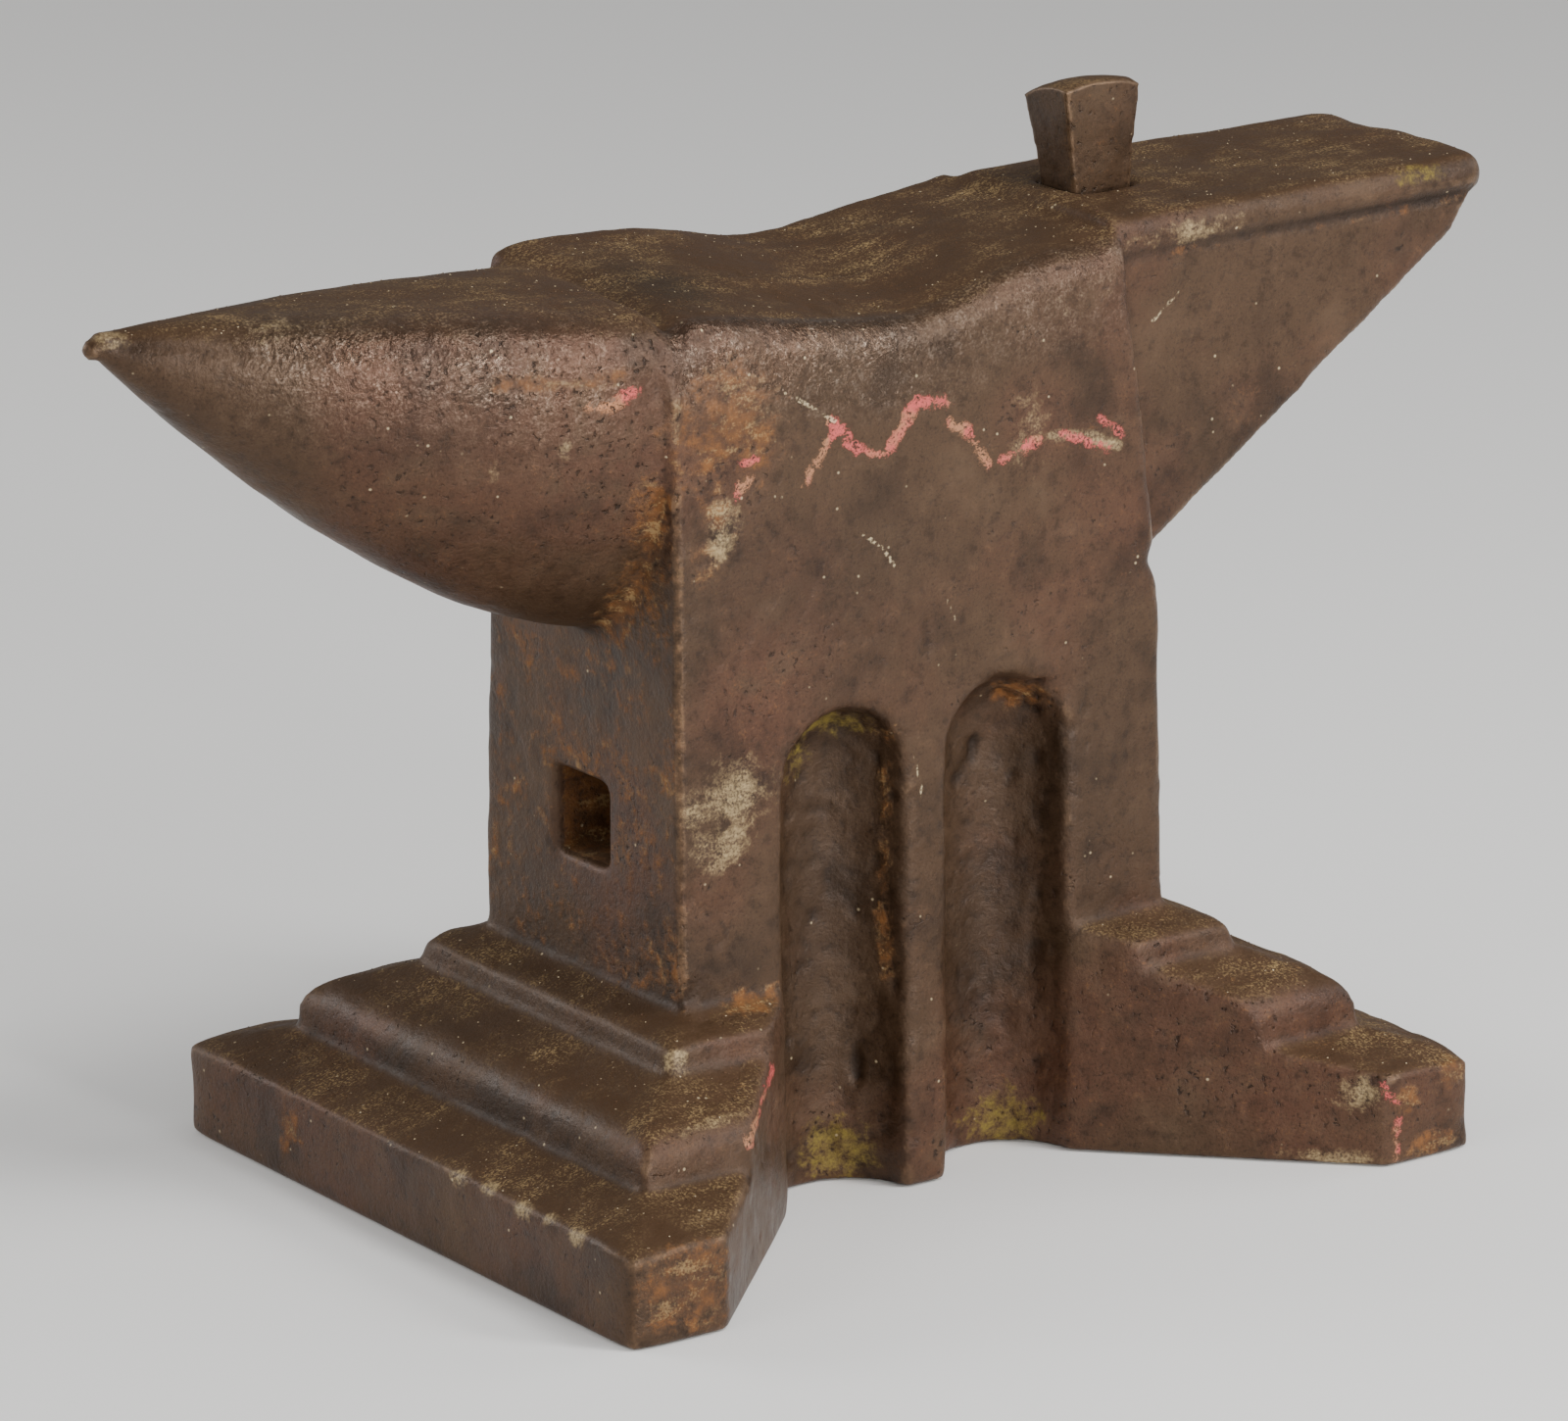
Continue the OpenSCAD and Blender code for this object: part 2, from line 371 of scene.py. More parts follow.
# %% Sink the front of the face
FACE_Z, FRONT_EDGE_Z = 374.5, 368.5     # heights in millimetres, as all the sizes below
WAIST_X, WAIST_HEEL, FRONT_Y = 116.4, 101.0, -70.0
FRONT_DIP = 15.2
SEAT_DIP = (10, 52, 60)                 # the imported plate's hollow: its middle and two widths


def dip(x, middle, horn_side, heel_side):
    """A hollow along the face, 1 at its middle, with its own width on each side."""
    return np.exp(-((x - middle) / np.where(x < middle, horn_side, heel_side)) ** 2)


def sink_face(points):
    x, y, z = points.T
    over_waist = step(-128, -108, x) * step(112, 98, x)
    near_top = step(306, 352, z)
    to_front = step(44, -52, y)
    packed = 13.2 * dip(x, *SEAT_DIP)
    front = FRONT_DIP * dip(x, 0, 76, 41)
    back = packed + 1.9 * dip(x, 90, 26, 14) - 0.8 * dip(x, 28, 22, 18) - 0.7 * dip(x, -26, 20, 20)
    wanted = front * to_front + back * (1 - to_front)
    points[:, 2] -= (wanted - packed) * over_waist * near_top
    return points


def face_front_z(x):
    """Height of the face along its front edge."""
    return FRONT_EDGE_Z - FRONT_DIP * dip(x, 0, 76, 41)


def drawn_out_edge(points):
    """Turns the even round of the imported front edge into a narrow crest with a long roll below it."""
    x, y, z = points.T
    round_r, roll_in, roll_down = 22.0, 14.0, 31.0
    still_in, still_down = 60, 70    # beyond these, points stay where they are
    crest = 2 / 2.5                  # power of the superellipse: the smaller, the squarer the crest
    inside, depth = y - FRONT_Y, face_front_z(x) + 0.6 - z
    up, out = np.maximum(round_r - depth, 0), np.maximum(round_r - inside, 0)
    angle, reach = np.arctan2(up, out), np.hypot(up, out) / round_r
    new_inside = roll_in * (1 - reach * np.cos(angle) ** crest)
    new_depth = roll_down * (1 - reach * np.sin(angle) ** crest)
    new_inside += np.maximum(inside - round_r, 0) * (still_in - roll_in) / (still_in - round_r)
    new_depth += np.maximum(depth - round_r, 0) * (still_down - roll_down) / (still_down - round_r)
    near = step(-126, -104, x) * step(104, 94, x) * (inside < still_in) * (depth < still_down)
    points[:, 1] += near * (new_inside - inside)
    points[:, 2] -= near * (new_depth - depth)
    return points


points = drawn_out_edge(sink_face(points))
front_middle = points[(abs(points[:, 0]) < 3) & (points[:, 1] < -50)]
print("front edge now dips to", round(float(front_middle[:, 2].max()), 1), "mm")

# %% [markdown]
# ## Dents, ridges and worn corners
# A few larger marks give the anvil its own face: a chipped top edge, a nick in the waist's
# corner, a proud seam where the horn meets the waist, a groove under the heel's steel, and
# feet whose far corners have been knocked round. `press` moves a soft spot along a direction,
# and `along` is a soft line.

# %% Soft spots and lines
def press(points, centre, radii, push):
    """Moves a soft spot round the centre by the vector push, in millimetres."""
    points += blob(points, centre, radii)[:, None] * np.array(push, float)


def away_from(points, start, end):
    """The vector to each point from the nearest place on the line from start to end."""
    start, end = np.array(start, float), np.array(end, float)
    run = end - start
    share = np.clip((points - start) @ run / (run @ run), 0, 1)
    return points - (start + share[:, None] * run)


def along(points, start, end, radius):
    """1 on the line from start to end, falling to 0 over the radius."""
    return np.exp(-(away_from(points, start, end) ** 2).sum(1) / radius ** 2)


print("two tools for marks: press and along")

# %% [markdown]
# ## Where the marks are
# Chips sit on the long front edge, where work and hammer strike. The corners of the feet and of
# their steps are knocked down, and inwards too, a little more at the sole than higher up.

# %% Larger marks
SOLE_X, SOLE_Y = 202, 161
NICHE_XS = (-39, 39)
PLATE_SEAM_Z = 358.5


def larger_marks(points):
    press(points, (84, -62, 370), (13, 12, 9), (0, 0, -1.6))     # chips along the top edge
    press(points, (62, -64, 364), (5, 9, 8), (0, 0.6, -0.9))
    press(points, (-60, -66, 360), (12, 12, 10), (0, 0.8, -0.8))
    press(points, (100, -72, 352), (12, 8, 20), (-1.6, 1.6, 0))
    press(points, (115, -70, 237), (7, 7, 7), (-3.4, 3.0, 0))    # nick in the waist's corner
    press(points, (116, 60, 262), (8, 8, 12), (-2.5, -2.0, 0))
    press(points, (290, 24, 374), (12, 22, 9), (-1.0, 0, -3.2))  # heel's knocked corner
    press(points, (290, 44, 366), (8, 9, 14), (-2.2, -1.6, 0))
    press(points, (288, -34, 374), (14, 14, 7), (0, 0, 0.8))
    press(points, (283, -50, 350), (12, 8, 10), (-1.0, 1.2, 0))
    press(points, (-116, -70, 368), (9, 12, 10), (2.5, 1.6, -2.4))  # corner beside the horn
    for side_x, side_y in ((-1, -1), (-1, 1), (1, -1), (1, 1)):
        press(points, (side_x * SOLE_X, side_y * SOLE_Y, 38), (16, 16, 10), (0, 0, -1.9))
        press(points, (side_x * SOLE_X, side_y * SOLE_Y, 20), (9, 9, 30), (side_x * -1.8, side_y * -1.8, 0))
    for x in NICHE_XS:
        press(points, (x, FRONT_Y, 0), (40, 14, 14), (0, 1.2, 0))    # ground edge of the niches
    for side_x, side_y in ((-1, 1), (1, -1), (1, 1)):
        press(points, (side_x * 172, side_y * 122, 78), (14, 14, 12), (side_x * -1.5, side_y * -1.5, -2.0))
    for side_x, side_y in ((-1, 1), (1, -1), (1, 1)):
        press(points, (side_x * 137, side_y * 90, 90), (10, 10, 10), (side_x * -1.2, side_y * -1.2, -1.6))


def seams(points, normals):
    """A proud seam up the front corner by the horn, and a groove under the heel's steel."""
    corner = along(points, (-WAIST_X, FRONT_Y, 98), (-WAIST_X, FRONT_Y, 338), 3.4)
    root = along(points, (-117, -69.5, 338), (-119, -60, 368), 4.0)
    groove = along(points, (104, -59, PLATE_SEAM_Z), (282, -53, PLATE_SEAM_Z), 2.6)
    back_groove = along(points, (104, 53, PLATE_SEAM_Z), (282, 49, PLATE_SEAM_Z), 2.6)
    lip = along(points, (104, -59, PLATE_SEAM_Z + 5), (280, -53, PLATE_SEAM_Z + 5), 4.5)
    lift = 0.9 * corner + 1.3 * root - 2.3 * groove - 1.8 * back_groove + 1.0 * lip
    points += lift[:, None] * normals


larger_marks(points)
set_points(block.data, points)
seams(points, normals_of(block.data))
set_points(block.data, points)
print("larger marks made")

# %% [markdown]
# ## Forged surface
# No forged face is flat. Wide, low waves come from the hammer and the swage, smaller lumps from
# scale, and the rough walls of the niches from the punch that drove them in. All of it is noise
# along the surface normal, with its strength set by where it is: the horn is rubbed smoother, and
# the niches and the feet stay rough.

# %% Waves, lumps and pits
def roughness_of_place(points):
    x, y, z = points.T
    from_axis = np.min([np.hypot(x - middle, abs(y) + FRONT_Y) for middle in NICHE_XS], axis=0)
    in_niche = step(33, 27, from_axis) * step(206, 198, z) * step(69.3, 67, abs(y))
    on_horn = step(-118, -140, x)
    on_feet = step(100, 90, z) * step(64, 72, abs(y)) + step(100, 90, z) * step(112, 120, abs(x))
    return in_niche, on_horn, np.clip(on_feet, 0, 1)


def forge_texture(points, normals):
    in_niche, on_horn, on_feet = roughness_of_place(points)
    waves = smooth_noise(points, 46, 1) * 0.75 + smooth_noise(points, 23, 2) * 0.35
    lumps = smooth_noise(points, 11, 3) * 0.26 + smooth_noise(points, 6.5, 4) * 0.14
    lumps *= 1 - 0.45 * on_horn + 0.5 * on_feet
    rough = smooth_noise(points * (1, 1, 0.7), 9, 5) * 0.4 + smooth_noise(points, 5, 6) * 0.5
    pits = np.clip(smooth_noise(points, 7, 7) - 0.42, 0, 1) * 2.2
    pitted = np.clip(smooth_noise(points, 60, 8) * 1.6 + 0.1, 0, 1) * (1 - 0.7 * on_horn)
    pitted = np.maximum(pitted, blob(points, (5, -70, 226), (60, 30, 16)))
    height = waves + lumps + rough * in_niche - pits * (pitted + 1.1 * in_niche)
    grip = step(-333, -300, points[:, 0]) * step(0, 10, points[:, 2])
    return points + normals * (height * grip)[:, None]


def hammer_dents(points, normals, count, seed):
    """Round dents of different sizes over the face, the horn and the step edges."""
    rng = np.random.default_rng(seed)
    worn = np.flatnonzero((points[:, 2] > 340) | ((points[:, 2] > 60) & (points[:, 2] < 96)))
    for middle in rng.choice(worn, count):
        radius = rng.uniform(4, 9)
        depth = rng.uniform(0.25, 0.8)
        points -= normals * (depth * blob(points, points[middle], (radius,) * 3))[:, None]
    return points


points = forge_texture(points, normals_of(block.data))
set_points(block.data, points)
points = hammer_dents(points, normals_of(block.data), 90, 12)
low, high = (np.array(corner) / MM for corner in cad_box)
margin, sole_rise = 0.02, 0.6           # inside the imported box, and what still counts as the sole
points = np.clip(points, low + margin, high - margin)
heights = points[:, 2]
points[:, 2] = np.where(heights < sole_rise, np.minimum(heights, sole_rise / 2), heights)
set_points(block.data, points)
print("forged surface done; box", points.min(0).round(1), points.max(0).round(1))

# %% [markdown]
# ## Where the iron is worn, dusty, rusty or painted
# The finish of the real anvil follows its history: bright edges where work slid over them, dust
# on every ledge, orange rust where paint has flaked, and crayon marks on the front. Each of these
# is stored as a number on every point, before the block is cut, so that a patch runs on across
# a joint. The materials read these numbers and break up their borders with fine noise.

# %% Edges, hollows and ledges
def curvature_masks(points, normals, edges, face_size=skin_size / MM):
    bend = ((neighbour_mean(points, edges) - points) * normals).sum(1) * (skin_size / MM / face_size) ** 2
    for _ in range(2):
        bend = neighbour_mean(bend, edges)
    wide = ((smoothed(points, edges, 40, 0.5) - points) * normals).sum(1)
    # crease and corner mark hollows, which the material darkens: partly grime, partly painted shade
    return {"worn": step(0.03, 0.14, -bend), "crease": step(0.03, 0.14, bend),
            "corner": step(0.25, 2.2, wide), "ledge": step(0.55, 0.93, normals[:, 2])}


print("four masks follow the shape")


# %% [markdown]
# ## Placing rust, scuffs and crayon
# Rust, pale scuffs and crayon marks don't follow the shape: they are where water stood, where something
# rubbed or where a hand drew. So each one is placed one by one, as a soft spot or as a soft line between a
# few points. Crayon and scratches have a sharper outline. They are stored as a distance from their line,
# and the material decides how wide they are.

# %% Spots, lines and distances
def patch(points, *spots):
    """The strongest of several soft spots; each is a centre, radii and a strength."""
    return np.max([strength * blob(points, centre, radii) for centre, radii, strength in spots], axis=0)


def trail(points, path, radius):
    """The strongest of the soft lines between the points of a path."""
    return np.max([along(points, a, b, radius) for a, b in zip(path, path[1:])], axis=0)


def distance_to(points, *paths):
    """Distance in millimetres to the nearest of several paths, at most 40."""
    nearest = np.full(len(points), 40.0)
    for path in paths:
        for start, end in zip(path, path[1:]):
            nearest = np.minimum(nearest, np.linalg.norm(away_from(points, start, end), axis=1))
    return nearest


def front_path(*spots):
    return [(x, FRONT_Y, z) for x, z in spots]


print("patches are soft spots, soft lines or distances")

# %% [markdown]
# ## Rust
# Orange rust comes where paint has flaked or water has stood: below the front edge, at the ends
# of the feet, in the head of a niche, up the waist's corner and inside the lifting holes.

# %% Places of rust
LIFTING_HOLE_Z = 155.6


def rust_patches(points):
    x, y, z = points.T
    inside_hole = (step(20, 17, abs(y)) * step(34, 20, abs(z - LIFTING_HOLE_Z))
                   * step(114, 110, abs(x)) * step(50, 56, abs(x)))
    return np.maximum.reduce([
        patch(points,
              ((-92, -70, 326), (27, 8, 24), 0.85),        # under the left end of the front edge
              ((-100, -70, 286), (12, 8, 26), 0.55),
              ((-84, -75, 95), (19, 9, 5), 0.8),           # on the top step
              ((-176, -161, 22), (24, 7, 19), 0.95),       # end of the front left foot
              ((168, -161, 26), (6, 6, 8), 0.9),           # end of the front right foot
              ((192, -159, 33), (12, 10, 7), 0.95),
              ((184, -161, 6), (14, 8, 6), 0.8),
              ((60, -161, 20), (20, 10, 16), 0.5),
              ((-203, 82, 22), (6, 9, 11), 0.8),           # on the sole's long edge
              ((-12, -58, 190), (10, 14, 10), 0.5),
              ((55, -50, 190), (16, 16, 9), 0.7),          # head of the right niche
              ((20, 70, 300), (34, 8, 26), 0.8),           # back of the waist
              ((-88, 70, 150), (18, 8, 34), 0.7),
              ((90, 120, 60), (30, 24, 14), 0.6),
              ((190, 161, 24), (22, 8, 18), 0.9),
              ((-190, 161, 30), (26, 8, 12), 0.7),
              ((114, 20, 200), (8, 26, 36), 0.6)),
        0.75 * trail(points, [(-118, -60, 300), (-118, -48, 268), (-117, -26, 238)], 11),
        0.5 * trail(points, [(-13, -59, 88), (-13, -59, 172)], 5),
        0.6 * trail(points, [(-186, -56, 353), (-162, -62, 350), (-138, -66, 350)], 4.5),
        0.5 * trail(points, front_path((-116, 96), (-116, 338)), 3.2),
        0.55 * trail(points, [(104, -59, 357), (280, -53, 357)], 3.0),
        0.34 * step(-114, -116, x) * step(-122, -119, x) * step(92, 100, z) * step(320, 270, z),
        inside_hole])


print("rust is strongest in the lifting holes,", LIFTING_HOLE_Z, "mm above the ground")

# %% [markdown]
# ## Pale scuffs
# Other iron, stone and dried mud leave pale, dry marks on corners and on flat sides. One weak patch at the
# right end of the front edge is a painted sheen instead.

# %% Places of pale scuffs
def pale_patches(points):
    sole_scuffs = ((-42, 37, 7), (-62, 38, 5), (-86, 36, 8), (-104, 38, 5), (-124, 36, 6))
    return np.maximum.reduce([
        patch(points,
              ((-92, -70, 178), (20, 7, 15), 0.75),        # beside the left niche
              ((-98, -70, 158), (18, 7, 12), 0.7),
              ((-110, -70, 174), (9, 6, 12), 0.6),
              ((-186, -50, 318), (4, 6, 7), 0.6),          # spots on the horn's side
              ((-160, -62, 322), (4, 6, 6), 0.6),
              # a weak pale patch that paints the sheen on the right end of the front edge, a painted
              # highlight
              ((80, -70, 348), (30, 10, 12), 0.3),         # right end of the front edge
              ((50, -70, 300), (12, 8, 22), 0.45),
              ((-96, -70, 284), (9, 6, 15), 0.8),
              ((-133, -90, 84), (7, 6, 8), 1.0),           # corner of the top step
              ((150, -152, 30), (12, 10, 8), 0.75),
              ((140, -146, 3), (22, 18, 4), 0.8),
              ((142, -56, 364), (40, 6, 5), 0.55),         # side of the heel's steel
              ((-325, -4, 381), (8, 8, 5), 0.8),           # tip of the horn
              ((-260, -18, 378), (16, 10, 8), 0.5),
              ((-60, 64, 362), (40, 12, 14), 0.5),
              ((60, 70, 130), (26, 8, 20), 0.7)),
        0.75 * trail(points, [(-150, -121, 68), (-112, -118, 71)], 4),
        patch(points, *[((-201, y, z), (4, length, 4), 0.9) for y, z, length in sole_scuffs]),
        0.8 * trail(points, front_path((60, 297), (76, 294), (93, 287)), 2.4),
        0.5 * trail(points, front_path((-115.5, 322), (-115.5, 338)), 3)])


print("pale scuffs placed")

# %% [markdown]
# ## Polish, moss, soot and painted shade
# Hot work slides over the front edge and along the horn, and rubs them to a dull gloss; the material paints
# pale glints on it, a painted highlight. Yellow moss grows mostly in the damp niches. Oil and soot stain
# the iron here and there, and painted shade darkens the niches, with a painted shadow along the groove
# under the heel's steel.

# %% Places of polish, moss, soot and painted shade
def gloss_patches(points):
    x, y, z = points.T
    depth = face_front_z(x) - z
    band = step(-1.5, 2.0, depth) * step(44, 26, depth) * step(-54, -60, y)
    band *= step(-121, -112, x) * step(106, 98, x)
    share = 0.55 + 0.45 * step(10, -30, x)
    return np.maximum.reduce([
        share * band,
        trail(points, [(-258, -30, 370), (-205, -48, 361), (-152, -60, 350)], 24),
        0.7 * trail(points, [(-262, 31, 370), (-205, 48, 361), (-150, 58, 350)], 20)])


def moss_patches(points):
    return patch(points,
                 ((-26, -46, 12), (20, 14, 13), 0.9),
                 ((52, -48, 10), (20, 14, 14), 0.8),
                 ((-26, -52, 192), (18, 12, 8), 0.8),
                 ((-44, -46, 178), (8, 12, 14), 0.6),
                 ((255, -52, 370), (14, 6, 5), 0.7),
                 ((30, 50, 16), (24, 16, 14), 0.8),
                 ((-45, 48, 180), (18, 14, 12), 0.7))


def soot_and_shade_patches(points):
    """Dark places: oil and soot stains here and there, painted shade deep in the niches, and a painted
    shadow along the groove under the heel's steel.
    """
    return np.maximum(
        patch(points,
              ((-87, -20, 370), (24, 32, 12), 1.0),
              ((-50, -70, 250), (50, 10, 30), 0.3),
              # painted shade deep inside the two niches
              ((-36, -42, 110), (20, 12, 50), 0.3),
              ((42, -42, 84), (24, 12, 46), 0.4),
              ((80, -70, 130), (22, 8, 60), 0.25),
              ((-225, -45, 330), (60, 12, 14), 0.35)),
        # a painted shadow along the groove under the heel's steel
        trail(points, [(104, -58, 358), (284, -52, 358)], 2.4))


print("polish, moss and soot placed")

# %% [markdown]
# ## Crayon and scratches
# A forge hand marks work with a wax crayon, and tries it on the anvil. A stroke is a few points
# joined by straight lines, and the noise in the material makes it waver, as wax does on scale.

# %% Places of crayon and scratches
def crayon_distance(points):
    """The pink marks of a forge hand's crayon."""
    return distance_to(
        points,
        front_path((-56, 296), (-50, 305), (-43, 313)), front_path((-38, 309), (-30, 305), (-20, 301)),
        front_path((-20, 301), (-12, 309), (-4, 320), (12, 317)),
        front_path((12, 309), (21, 304), (30, 290)), front_path((36, 290), (54, 296)),
        front_path((66, 296), (88, 287)), front_path((84, 299), (94, 292)),
        front_path((-88, 296), (-83, 302)), front_path((-84, 309), (-76, 308)),
        front_path((-44, 318), (-36, 311)),
        [(-151, -64, 340), (-143, -66, 339), (-132, -67.5, 344)],
        [(-90, -92, 71), (-109, -112, 66), (-123, -124, 58)],
        [(157, -160, 33), (162, -161, 27)], [(163, -161, 18), (163, -161, 3)])


def scratch_distance(points):
    """Thin pale scratches."""
    return distance_to(
        points,
        front_path((-6, 178), (-2, 160)), front_path((-31, 272), (-21, 265), (-15, 256)),
        front_path((10, 238), (14, 229)), front_path((-60, 330), (-42, 318)),
        [(-86, -80, 92), (-80, -84, 90)], [(-201, -60, 37), (-201, -64, 26)],
        [(-201, -96, 36), (-201, -118, 30)], [(40, -80, 50), (46, -88, 52)],
        [(120, -55, 330), (150, -54, 352)], [(-40, 70, 240), (-10, 70, 262)])


print("crayon and scratches placed")

# %% [markdown]
# ## Numbers on the points
# A named attribute keeps a number for every point, survives the Boolean cuts and can be read by
# a material, so it is the simplest way to say where a finish lies. A painted image would do the
# same, but it needs unwrapping and has a fixed sharpness.

# %% Store the masks on the block
def write_numbers(attribute, values):
    key = "value" if values.ndim == 1 else "vector"
    attribute.data.foreach_set(key, values.astype(np.float32).ravel())


def store(mesh, name, values):
    kind = "FLOAT" if values.ndim == 1 else "FLOAT_VECTOR"
    write_numbers(mesh.attributes.new(name, kind, "POINT"), values)


PLACES = {"rust": rust_patches, "pale": pale_patches, "gloss": gloss_patches, "moss": moss_patches,
          "crayon": crayon_distance, "scratch": scratch_distance, "shade": soot_and_shade_patches}


def store_masks(mesh, points, normals, edges, **how):
    masks = curvature_masks(points, normals, edges, **how)
    masks.update({name: strength_at(points) for name, strength_at in PLACES.items()})
    masks["ledge"] *= 1 - 0.8 * masks["gloss"]
    for name, values in masks.items():
        store(mesh, name, values)
    store(mesh, "skin_normal", normals)
    return masks


masks = store_masks(block.data, points, normals_of(block.data), edges)
for name, values in masks.items():
    print(name, "mean", round(float(values.mean()), 3))

# %% [markdown]
# ## Cutting the block back into its pieces
# Each piece of the real anvil was a separate bar or plate before it was welded on, and the model
# keeps them apart. A cell is a simple closed prism. The part of the block inside it is that
# piece, so the worn skin of two neighbours meets in one line. Inside the iron the cells follow
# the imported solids. They lie a little outside them where a worn surface may stand proud.

# %% Cells
proud = 1.2
waist_x, waist_y = WAIST_X + proud, proud - FRONT_Y
heel_top_x = WAIST_HEEL + proud
seat_xs = np.linspace(-waist_x, heel_top_x, 29)
seat_z = 350.5
seat_zs = seat_z - 9.0 * dip(seat_xs, *SEAT_DIP)
seat = list(zip(seat_xs.tolist(), seat_zs.tolist()))
far, tall = 420.0, 460.0
waist_end = [(118.0, 205.0), (115.6, 222.0), (114.2, 234.0), (heel_top_x, seat_z)]


def prism(name, outline, front=-100, back=100):
    """A closed solid: an outline of (x, z) points, drawn anticlockwise, from front y to back y."""
    count = len(outline)
    corners = [(x * MM, y * MM, z * MM) for y in (front, back) for x, z in outline]
    sides = [(i, (i + 1) % count, count + (i + 1) % count, count + i) for i in range(count)]
    faces = [tuple(range(count))] + [tuple(range(2 * count - 1, count - 1, -1))]
    mesh = bpy.data.meshes.new(name)
    mesh.from_pydata(corners, [], faces + [side[::-1] for side in sides])
    return new_object(name, mesh)


def box_cell(name, low, high):
    outline = [(low[0], low[2]), (high[0], low[2]), (high[0], high[2]), (low[0], high[2])]
    return prism(name, outline, low[1], high[1])


def joined_cell(*cells):
    for cell in cells[1:]:
        combine(cells[0], cell, "UNION")
        discard(cell)
    return cells[0]


foot_top = 108.0
low_core = joined_cell(box_cell("low_core", (-waist_x, -waist_y, -5), (waist_x, waist_y, foot_top + 1)),
                       box_cell("pillars", (-60, -100, -5), (60, 100, foot_top + 1)))
body_outline = [(-130, foot_top), (130, foot_top), (130, 205)] + waist_end + seat[::-1] + [
    (-waist_x, 200), (-130, 200)]
body_cell = prism("body_cell", body_outline)
horn_cell = prism("horn_cell", [(-far, 200), (-waist_x, 200), (-waist_x, tall), (-far, tall)])
face_cell = prism("face_cell", seat + [(heel_top_x, tall), (-waist_x, tall)])
heel_cell = prism("heel_cell", [(118, 205), (far, 205), (far, PLATE_SEAM_Z), (heel_top_x, PLATE_SEAM_Z)]
                  + waist_end[::-1][:-1])
heel_plate_cell = prism("heel_plate_cell", [(heel_top_x, PLATE_SEAM_Z), (far, PLATE_SEAM_Z),
                                            (far, tall), (heel_top_x, tall)])
print("cells for", len(WELDED), "pieces")

# %% [markdown]
# ## Cutting
# Each piece is a copy of the whole block, cut by its cells. Cutting copies, and not the block
# itself, leaves the block whole for the later steps. The hardy hole is drawn once more through
# the heel and its steel, because the remesh has rounded it and the tool has to slide in it.

# %% Cut the pieces
def piece_of_block(name, cell, *holes):
    """The part of the block that is inside the cell and outside the holes."""
    piece = new_object(name, block.data.copy())
    combine(piece, cell, "INTERSECT")
    for hole in holes:
        combine(piece, hole, "DIFFERENCE")
    return piece


HARDY_X, HARDY_Y, hole_half = 130, 2, 14.55
hardy_hole = box_cell("hardy_hole", (HARDY_X - hole_half, HARDY_Y - hole_half, 150),
                      (HARDY_X + hole_half, HARDY_Y + hole_half, 500))
joined_cell(body_cell, new_object("low_copy", low_core.data.copy()))
pieces = {
    "body_core": piece_of_block("waist_iron", body_cell),
    "horn": piece_of_block("horn_iron", horn_cell),
    "heel": piece_of_block("heel_iron", heel_cell, hardy_hole),
    "face_plate": piece_of_block("face_steel", face_cell),
    "heel_plate": piece_of_block("heel_steel", heel_plate_cell, hardy_hole),
}
for depth, front in (("front", True), ("back", False)):
    for end, horn_end in (("left", True), ("right", False)):
        quarter = box_cell("quarter", (-far if horn_end else 0, -far if front else 0, -5),
                           (0 if horn_end else far, 0 if front else far, foot_top))
        node = "foot_" + depth + "_" + end
        pieces[node] = piece_of_block("iron_" + node, quarter, low_core)
        discard(quarter)
for node, piece in pieces.items():
    print(node, "->", piece.name, len(piece.data.polygons), "faces")

# %% [markdown]
# ## Mending the cut lines
# Where a cell's wall crosses the skin, the Boolean makes new points that have no stored numbers.
# Each takes them from the nearest points of the whole block. The block's own normals are then
# set on every piece, so that light runs across a joint as if it weren't there.

# %% Carry the stored numbers over the cut
def nearest_shares(tree, places, count=4):
    indices, shares = [], []
    for place in places:
        found = tree.find_n(place, count)
        weights = np.array([1 / (distance + 1e-6) for _, _, distance in found])
        indices.append([index for _, index, _ in found])
        shares.append(weights / weights.sum())
    return np.array(indices), np.array(shares)


def read_numbers(mesh, name):
    attribute = mesh.attributes[name]
    if attribute.data_type == "FLOAT_VECTOR":
        return read(attribute.data, "vector", 3)
    return read(attribute.data, "value", 1).ravel()


def mend_cuts(mesh, tree, names):
    lost = np.flatnonzero(np.linalg.norm(read_numbers(mesh, "skin_normal"), axis=1) < 0.9)
    indices, shares = nearest_shares(tree, [mesh.vertices[int(i)].co for i in lost])
    for name in names:
        source = read_numbers(block.data, name)
        values = read_numbers(mesh, name)
        weights = shares[:, :, None] if source.ndim == 2 else shares
        values[lost] = (source[indices] * weights).sum(1)
        write_numbers(mesh.attributes[name], values)
    mesh.shade_smooth()
    normals = read_numbers(mesh, "skin_normal")
    normals /= np.maximum(np.linalg.norm(normals, axis=1), 1e-6)[:, None]
    mesh.normals_split_custom_set_from_vertices(normals.tolist())
    mesh.attributes.remove(mesh.attributes["skin_normal"])
    return len(lost)


tree = KDTree(len(block.data.vertices))
for vertex in block.data.vertices:
    tree.insert(vertex.co, vertex.index)
tree.balance()
stored = list(masks) + ["skin_normal"]
for piece in pieces.values():
    print(piece.name, "mended at", mend_cuts(piece.data, tree, stored), "points")

# %% [markdown]
# ## Sums on sockets
# Node trees are easier to read as sums than as lists of links. `Wire` wraps a socket, and each
# Python operator adds the Math node for it.

